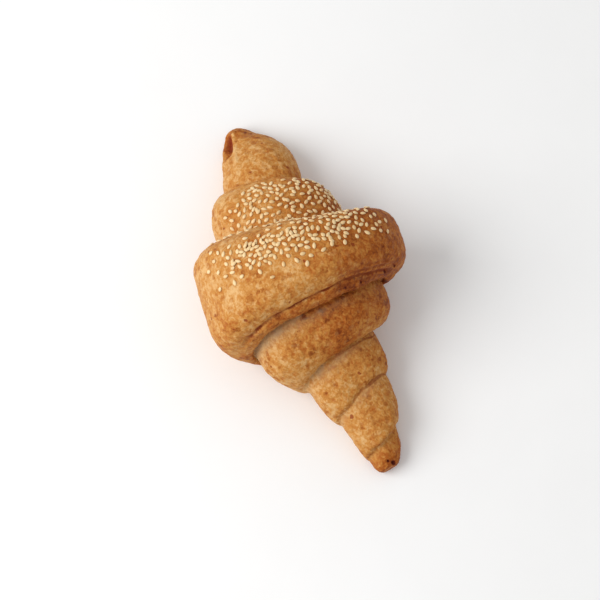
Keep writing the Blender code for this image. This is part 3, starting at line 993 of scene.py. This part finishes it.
def crack_lines(tree, ragged):
    """The crack and its companions as a mask of thin lines."""
    past = arithmetic(tree, "MULTIPLY_ADD", ragged, CRACK_RAGGED, mask_of(tree, "past crack"))
    opened = mask_of(tree, "crack")
    companions = mask_of(tree, "companions")
    off = arithmetic(tree, "ABSOLUTE", past)
    lines = arithmetic(tree, "MULTIPLY", remap(tree, off, *CRACK_LINE), opened)
    for distance, strength in COMPANION_CRACKS:
        off = arithmetic(tree, "ABSOLUTE", arithmetic(tree, "SUBTRACT", past, distance))
        line = arithmetic(tree, "MULTIPLY", remap(tree, off, *CRACK_LINE, 0.0, strength), companions)
        lines = arithmetic(tree, "MAXIMUM", lines, line)
    return lines


def lip_shadow_line(tree, ragged):
    """The painted shadow right under the near rims of the inner layers, as a mask of a dark line."""
    past = arithmetic(tree, "MULTIPLY_ADD", ragged, CRACK_RAGGED, mask_of(tree, "past lip"))
    off = arithmetic(tree, "ABSOLUTE", arithmetic(tree, "SUBTRACT", past, LIP_SHADOW_OFFSET))
    return arithmetic(tree, "MULTIPLY", remap(tree, off, *LIP_SHADOW_LINE), mask_of(tree, "painted lip shadow"))


def painted_hole_shade_spots(tree, where):
    """The painted shade inside the small holes, as a mask of dark spots with clear edges."""
    spots = 0.0
    flat = vector_step(tree, "MULTIPLY", where, HOLE_SHAPE)
    for centre, size in HOLES:
        middle = tuple(np.array(centre) * HOLE_SHAPE * MM)
        distance = vector_step(tree, "DISTANCE", flat, middle)
        spot = remap(tree, distance, *(share * size * MM for share in HOLE_PAINTED_SHADE))
        spots = arithmetic(tree, "MAXIMUM", spots, spot)
    return spots


def baked_colour(tree, bake_and_painted_shade, colours):
    """The crust's colour from pale to dark, as it bakes."""
    ramp = new_node(tree, "ShaderNodeValToRGB", {"Fac": bake_and_painted_shade})
    stops = ramp.color_ramp.elements
    for index, (name, position) in enumerate(BAKE_STOPS):
        stop = stops[index] if index < len(stops) else stops.new(position)
        stop.position = position
        stop.color = solid_colour(getattr(colours, name))
    return ramp.outputs["Color"]


def crust_bump(tree, where, fine, bran):
    grain = new_node(tree, "ShaderNodeTexNoise", {"Vector": where, "Scale": GRAIN_SCALE, "Detail": 3.0})
    pimples = new_node(
        tree, "ShaderNodeTexVoronoi", {"Vector": where, "Scale": PIMPLE_SCALE}, feature="SMOOTH_F1"
    )
    height = arithmetic(tree, "MULTIPLY_ADD", fine, FINE_DENT, grain.outputs["Fac"])
    height = arithmetic(tree, "MULTIPLY_ADD", pimples.outputs["Distance"], PIMPLE_DENT, height)
    height = arithmetic(tree, "MULTIPLY_ADD", bran, BRAN_DENT, height)
    return new_node(tree, "ShaderNodeBump", {"Height": height, **CRUST_BUMP}).outputs["Normal"]


def crust_material(colours, blotches, flecks):
    """Baked wholemeal crust: blotches, scorches, pale bubbles, bran, dark cracks, pale crevices, with painted
    shade in its browning, in the holes and the pocket and under the inner rims, and painted light in the
    crevices on the left.
    """
    material, tree, shader = new_material("baked crust", {"Specular IOR Level": CRUST_SPECULAR})
    where = new_node(tree, "ShaderNodeTexCoord").outputs["Object"]
    fine = use_group(tree, blotches, vector=where, **FINE_BLOTCHES)
    broad = use_group(tree, blotches, vector=where, **BROAD_BLOTCHES)
    bake_and_painted_shade = arithmetic(tree, "MULTIPLY_ADD", fine, FINE_BAKE, mask_of(tree, "bake_and_painted_shade"))
    bake_and_painted_shade = arithmetic(tree, "MULTIPLY_ADD", broad, BROAD_BAKE, bake_and_painted_shade)
    scorches = use_group(tree, flecks, vector=where, **SCORCHES)
    scorches = arithmetic(tree, "MULTIPLY", scorches, remap(tree, broad, *SCORCH_BY_BLOTCH))
    scorched = blend_colours(
        tree, remap(tree, bake_and_painted_shade, *SCORCH_DARKER), solid_colour(colours.scorch), solid_colour(colours.dark)
    )
    bubbles = use_group(tree, flecks, vector=where, **BUBBLES)
    bubbles = arithmetic(tree, "MULTIPLY", bubbles, remap(tree, bake_and_painted_shade, *BUBBLE_BY_BAKE))
    # Pale crevices, partly real dough and partly painted light on the left
    crevice_and_painted_light = arithmetic(tree, "MULTIPLY", mask_of(tree, "crevice_and_painted_light"), remap(tree, broad, *CREVICE_BY_BLOTCH))
    bran = use_group(tree, flecks, vector=where, **BRAN)
    bran = arithmetic(tree, "MULTIPLY", bran, BRAN_STRENGTH)
    colour = baked_colour(tree, bake_and_painted_shade, colours)
    colour = blend_colours(tree, scorches, colour, scorched)
    layers = (
        (bubbles, colours.pale), (crevice_and_painted_light, colours.crevice_and_painted_light), (bran, colours.bran),
        # The line under the inner rims is painted shadow, in the crack's colour
        (lip_shadow_line(tree, fine), colours.crack), (crack_lines(tree, fine), colours.crack),
        # The pocket and the holes are painted as shade: in bran colour, then near black in the holes
        (mask_of(tree, "hole_and_painted_shade"), colours.bran), (painted_hole_shade_spots(tree, where), colours.hole_and_painted_shade),
    )
    for mask, paint in layers:
        colour = blend_colours(tree, mask, colour, solid_colour(paint))
    tree.links.new(colour, shader.inputs["Base Color"])
    tree.links.new(remap(tree, fine, *ROUGH_BY_BLOTCH), shader.inputs["Roughness"])
    tree.links.new(crust_bump(tree, where, fine, bran), shader.inputs["Normal"])
    return material


def seed_material(colours, blotches):
    material, tree, shader = new_material("sesame", {"Roughness": SEED_ROUGHNESS})
    where = new_node(tree, "ShaderNodeTexCoord").outputs["Object"]
    mottle = use_group(tree, blotches, vector=where, **SEED_BLOTCHES)
    toast = arithmetic(tree, "MULTIPLY_ADD", mottle, SEED_MOTTLE, mask_of(tree, "tone"))
    colour = blend_colours(tree, toast, solid_colour(colours.seed), solid_colour(colours.seed_toasted))
    tree.links.new(colour, shader.inputs["Base Color"])
    bump = new_node(tree, "ShaderNodeBump", {"Height": mottle, **SEED_BUMP})
    tree.links.new(bump.outputs["Normal"], shader.inputs["Normal"])
    return material


def table_material(colours, blotches):
    material, tree, shader = new_material("table", {"Roughness": TABLE_ROUGHNESS})
    where = new_node(tree, "ShaderNodeTexCoord").outputs["Object"]
    tone = use_group(tree, blotches, vector=where, **TABLE_BLOTCHES)
    dimmer = solid_colour([TABLE_DIMMER * part for part in colours.table])
    colour = blend_colours(tree, remap(tree, tone, -1.0, 1.0), dimmer, solid_colour(colours.table))
    tree.links.new(colour, shader.inputs["Base Color"])
    return material


class MESH_OT_croissant_dough(bpy.types.Operator):
    """Rolls and bakes the croissant's dough"""

    bl_idname = "mesh.croissant_dough"
    bl_label = "Dough"

    def execute(self, context):
        settings = context.scene.croissant_dough
        crust = roll_sheet()
        face_outwards(crust)
        heart = shape_heart()
        face_outwards(heart)
        select_only(crust, heart)
        bpy.ops.object.join()
        crust.name = "crust"
        apply_modifier(crust, "REMESH", mode="VOXEL", voxel_size=settings.voxel)
        keep_largest_body(crust)
        mesh = crust.data
        edges = read_edges(mesh)
        points = softened(read_points(mesh), edges, 1)
        write_points(mesh, points)
        normals = read_normals(mesh)
        roll = read_roll(points)
        points = points + normals * (LUMP_HEIGHT * rough(points, *LUMPS))[:, None]
        height, dark, seam, pocket = end_relief(points)
        points = points + normals * height[:, None]
        write_points(mesh, points)
        points = crust_relief(points, read_normals(mesh), roll, settings)
        points[:, 2] = np.maximum(points[:, 2], LOW[2])
        write_points(mesh, points)
        for name, values in crust_masks(points, roll, edges, dark, seam, pocket).items():
            write_mask(mesh, name, values)
        select_only(crust)
        bpy.ops.object.shade_smooth()
        blotches = shared_group("baking blotches", blotch_group)
        flecks = shared_group("flecks", fleck_group)
        mesh.materials.clear()
        mesh.materials.append(crust_material(context.scene.croissant_colours, blotches, flecks))
        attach(crust, "root")
        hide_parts(SOLID)
        return {"FINISHED"}


def seed_density(u, angle):
    """How thick the seeds lie, from 0 to 1, on the far ring and on the outer band beyond its near limit."""
    turn = turn_at(angle)
    ring_edge = -float(edge_distance(turn + 1, -1))
    band_edge = -float(edge_distance(turn, -1))
    if u < ring_edge + RING_CLEAR:
        return 0.0
    if u < band_edge:
        bare = RING_BARE * float(smooth_step(RING_FADE, 0.0, u - ring_edge))
        return RING_DENSITY * float(smooth_step(*RING_LEFT, angle - bare))
    sides = float(smooth_step(*BAND_LEFT, angle) * smooth_step(*BAND_RIGHT, angle))
    clump = noise.noise((u / SEED_CLUMP, angle * SEED_CLUMP_PACE, SEED_CLUMP_SHIFT))
    bare = float(smooth_step(*BARE_SIDE, angle) * smooth_step(*BARE_EDGE, u - band_edge))
    near = float(smooth_step(*NEAR_FADE, u - float(through(NEAR_LIMIT, angle))))
    return sides * (SEED_EVENNESS + SEED_CLUMPING * clump) * (1 - bare) * (1 - (1 - STRAYS) * near)


def seed_places(crust, settings):
    """Seeded draws of (point, normal, turn, size, how many lie below), spaced as the density asks."""
    mesh = crust.data
    tree = BVHTree.FromPolygons(
        [vertex.co for vertex in mesh.vertices], [tuple(face.vertices) for face in mesh.polygons]
    )
    draw = random.Random(SEED_RANDOM)
    places = []
    for _ in range(SEED_DRAWS):
        u = draw.uniform(*SEED_ZONE) * MM
        angle = draw.uniform(-1, 1) * SEED_LIMIT_ANGLE
        chance, turned, size = draw.random(), draw.uniform(0, math.pi), draw.uniform(-1, 1)
        density = seed_density(u, angle)
        if chance > density:
            continue
        outward = Vector((0, math.sin(angle), math.cos(angle)))
        axis_height = AXIS_HEIGHT * float(crown_radius(np.float64(TOP_TURN), u))
        middle = Vector((RIDGE_X + u, 0, axis_height * DROP_AIM))
        point, normal, _, _ = tree.ray_cast(middle + outward * DROP_HEIGHT, -outward)
        piled = draw.random() < settings.piled
        spacing = settings.pile_spacing if piled else settings.spacing + settings.thinning * (1 - density)
        if point is None or any((point - other[0]).length < spacing for other in places):
            continue
        normal = sum((tree.find_nearest(point + step)[1] for step in NEARBY), normal.copy()).normalized()
        below = sum((point - other[0]).length < settings.spacing for other in places)
        places.append((point, normal, turned, size, min(below, MOST_BELOW)))
        if len(places) == settings.count:
            break
    return places


def model_seed(settings):
    """One sesame seed: a flat drop with one rounder and one pointed end."""
    bpy.ops.mesh.primitive_uv_sphere_add(
        segments=SEED_SEGMENTS, ring_count=SEED_RINGS, radius=BALL_RADIUS, rotation=(0, math.pi / 2, 0)
    )
    seed = bpy.context.object
    bpy.ops.object.transform_apply(location=False, rotation=True, scale=True)
    for vertex in seed.data.vertices:
        along = vertex.co.x / BALL_RADIUS
        slim = 1 - POINTED * max(along, 0) ** POINTED_POWER + ROUNDED * max(-along, 0)
        vertex.co.y *= slim
        vertex.co.z *= slim * (FLAT_BELOW if vertex.co.z < 0 else 1.0)
    seed.data.transform(Matrix.Diagonal((settings.length, settings.width, settings.thickness, 1)))
    bpy.ops.object.shade_smooth()
    return seed


def lie_of_seed(draw, place, thickness):
    """The matrix that lays a seed at its place, turned, tilted and a little larger or smaller."""
    point, normal, turned, size, below = place
    tilt = math.radians(draw.uniform(-SEED_TILT, SEED_TILT) + below * draw.choice((-PILED_TILT, PILED_TILT)))
    side = normal.orthogonal().normalized()
    side.rotate(Matrix.Rotation(turned, 3, normal))
    turn = Matrix((side, normal.cross(side), normal)).transposed().to_4x4() @ Matrix.Rotation(tilt, 4, "Y")
    lift = thickness * (SEED_LIFT + PILED_LIFT * below)
    width = 1 + WIDTH_CHANGE * draw.uniform(-1, 1)
    height = 1 + THICKNESS_CHANGE * draw.uniform(-1, 1)
    stretch = Matrix.Diagonal((1 + LENGTH_CHANGE * size, width, height, 1))
    return Matrix.Translation(point + normal * lift) @ turn @ stretch


def toast_crust(mesh, seeds):
    """Browns the crust a little round the seeds, where the glaze that holds them has run together."""
    tree = KDTree(len(seeds))
    for index, seed in enumerate(seeds):
        tree.insert(seed, index)
    tree.balance()
    layer = mesh.attributes["bake_and_painted_shade"]
    bake_and_painted_shade = np.empty(len(mesh.vertices), dtype=np.float32)
    layer.data.foreach_get("value", bake_and_painted_shade)
    nearest = np.array([tree.find(vertex.co)[2] for vertex in mesh.vertices])
    toasted = np.minimum(bake_and_painted_shade + TOAST_BAKE * bell(nearest, 0, TOAST_REACH), 1)
    layer.data.foreach_set("value", toasted.astype(np.float32))


class MESH_OT_croissant_seeds(bpy.types.Operator):
    """Strews sesame seeds over the crown of the croissant"""

    bl_idname = "mesh.croissant_seeds"
    bl_label = "Sesame seeds"

    def execute(self, context):
        settings = context.scene.croissant_seeds
        crust = bpy.data.objects["crust"]
        model = model_seed(settings)
        draw = random.Random(SEED_RANDOM + 1)
        copies = []
        for place in seed_places(crust, settings):
            mesh = model.data.copy()
            mesh.transform(lie_of_seed(draw, place, settings.thickness))
            tone = draw.uniform(0.0, SEED_TONES) + (TOASTED_MORE if draw.random() < TOASTED_SHARE else 0.0)
            write_mask(mesh, "tone", np.full(len(mesh.vertices), tone))
            copy = bpy.data.objects.new("seed", mesh)
            context.scene.collection.objects.link(copy)
            copies.append(copy)
        bpy.data.objects.remove(model, do_unlink=True)
        toast_crust(crust.data, [copy.data.vertices[0].co for copy in copies])
        select_only(*copies)
        bpy.ops.object.join()
        seeds = copies[0]
        seeds.name = "sesame_seeds"
        blotches = shared_group("baking blotches", blotch_group)
        seeds.data.materials.clear()
        seeds.data.materials.append(seed_material(context.scene.croissant_colours, blotches))
        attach(seeds, "root")
        return {"FINISHED"}


def add_key_light(direction, aim, power):
    """A soft round light that shines on the aim from the given direction."""
    light = bpy.data.lights.new("key", "AREA")
    light.shape = "DISK"
    light.size = KEY_SIZE
    light.energy = power
    lamp = bpy.data.objects.new("key", light)
    direction = direction.normalized()
    lamp.location = aim + direction * KEY_DISTANCE
    lamp.rotation_euler = direction.to_track_quat("Z", "Y").to_euler()
    bpy.context.scene.collection.objects.link(lamp)


def add_camera(place, axes, lens):
    """A camera at the place, with the given right, up and back axes."""
    data = bpy.data.cameras.new("camera")
    data.lens = lens
    data.clip_start = CLIP_START
    camera = bpy.data.objects.new("camera", data)
    camera.matrix_world = Matrix.Translation(place) @ Matrix(axes).transposed().to_4x4()
    bpy.context.scene.collection.objects.link(camera)
    bpy.context.scene.camera = camera


def white_room(strength):
    """A world that lights everything softly from all round."""
    world = bpy.data.worlds.new("soft white room")
    world.use_nodes = True
    background = world.node_tree.nodes["Background"]
    background.inputs["Color"].default_value = (1.0, 1.0, 1.0, 1.0)
    background.inputs["Strength"].default_value = strength
    return world


class SCENE_OT_croissant_stage(bpy.types.Operator):
    """Sets the table, the light and the camera"""

    bl_idname = "scene.croissant_stage"
    bl_label = "Table, light and camera"

    def execute(self, context):
        scene = context.scene
        stage = scene.croissant_stage
        bpy.ops.mesh.primitive_plane_add(size=TABLE_SIZE, location=(0, 0, LOW[2] - TABLE_GAP))
        bpy.ops.object.transform_apply(location=True)
        table = context.object
        table.name = "table"
        blotches = shared_group("baking blotches", blotch_group)
        table.data.materials.append(table_material(scene.croissant_colours, blotches))

        turn, rise = stage.azimuth, stage.elevation
        right = Vector((math.cos(turn), math.sin(turn), 0))
        back = Vector((math.sin(turn) * math.cos(rise), -math.cos(turn) * math.cos(rise), math.sin(rise)))
        axes = (right, back.cross(right), back)
        aim = Vector(stage.aim)
        add_camera(aim + back * stage.distance, axes, stage.lens)
        key = sum((share * axis for share, axis in zip(KEY_DIRECTION, axes)), Vector())
        add_key_light(key, aim, stage.key_power)
        scene.world = white_room(stage.sky)
        scene.view_settings.view_transform = "Standard"
        return {"FINISHED"}


class VIEW3D_PT_croissant(bpy.types.Panel):
    """Lists the steps of the croissant and their settings"""

    bl_label = "Croissant"
    bl_space_type = "VIEW_3D"
    bl_region_type = "UI"
    bl_category = "Croissant"

    def draw(self, context):
        for operator, settings in STEPS:
            box = self.layout.box()
            box.operator(operator)
            for group in settings:
                values = getattr(context.scene, group)
                for name in values.__annotations__:
                    box.prop(values, name)


STEPS = (
    ("mesh.croissant_dough", ("croissant_dough", "croissant_colours")),
    ("mesh.croissant_seeds", ("croissant_seeds",)),
    ("scene.croissant_stage", ("croissant_stage",)),
)
SETTINGS = {
    "croissant_dough": CroissantDough,
    "croissant_seeds": CroissantSeeds,
    "croissant_colours": CroissantColours,
    "croissant_stage": CroissantStage,
}
CLASSES = (
    *SETTINGS.values(), MESH_OT_croissant_dough, MESH_OT_croissant_seeds, SCENE_OT_croissant_stage,
    VIEW3D_PT_croissant,
)


def register():
    for item in CLASSES:
        bpy.utils.register_class(item)
    for name, group in SETTINGS.items():
        setattr(bpy.types.Scene, name, PointerProperty(type=group))


def unregister():
    for name in SETTINGS:
        delattr(bpy.types.Scene, name)
    for item in reversed(CLASSES):
        bpy.utils.unregister_class(item)


def main():
    register()
    bpy.ops.mesh.croissant_dough()
    bpy.ops.mesh.croissant_seeds()
    bpy.ops.scene.croissant_stage()


if __name__ == "__main__":
    main()
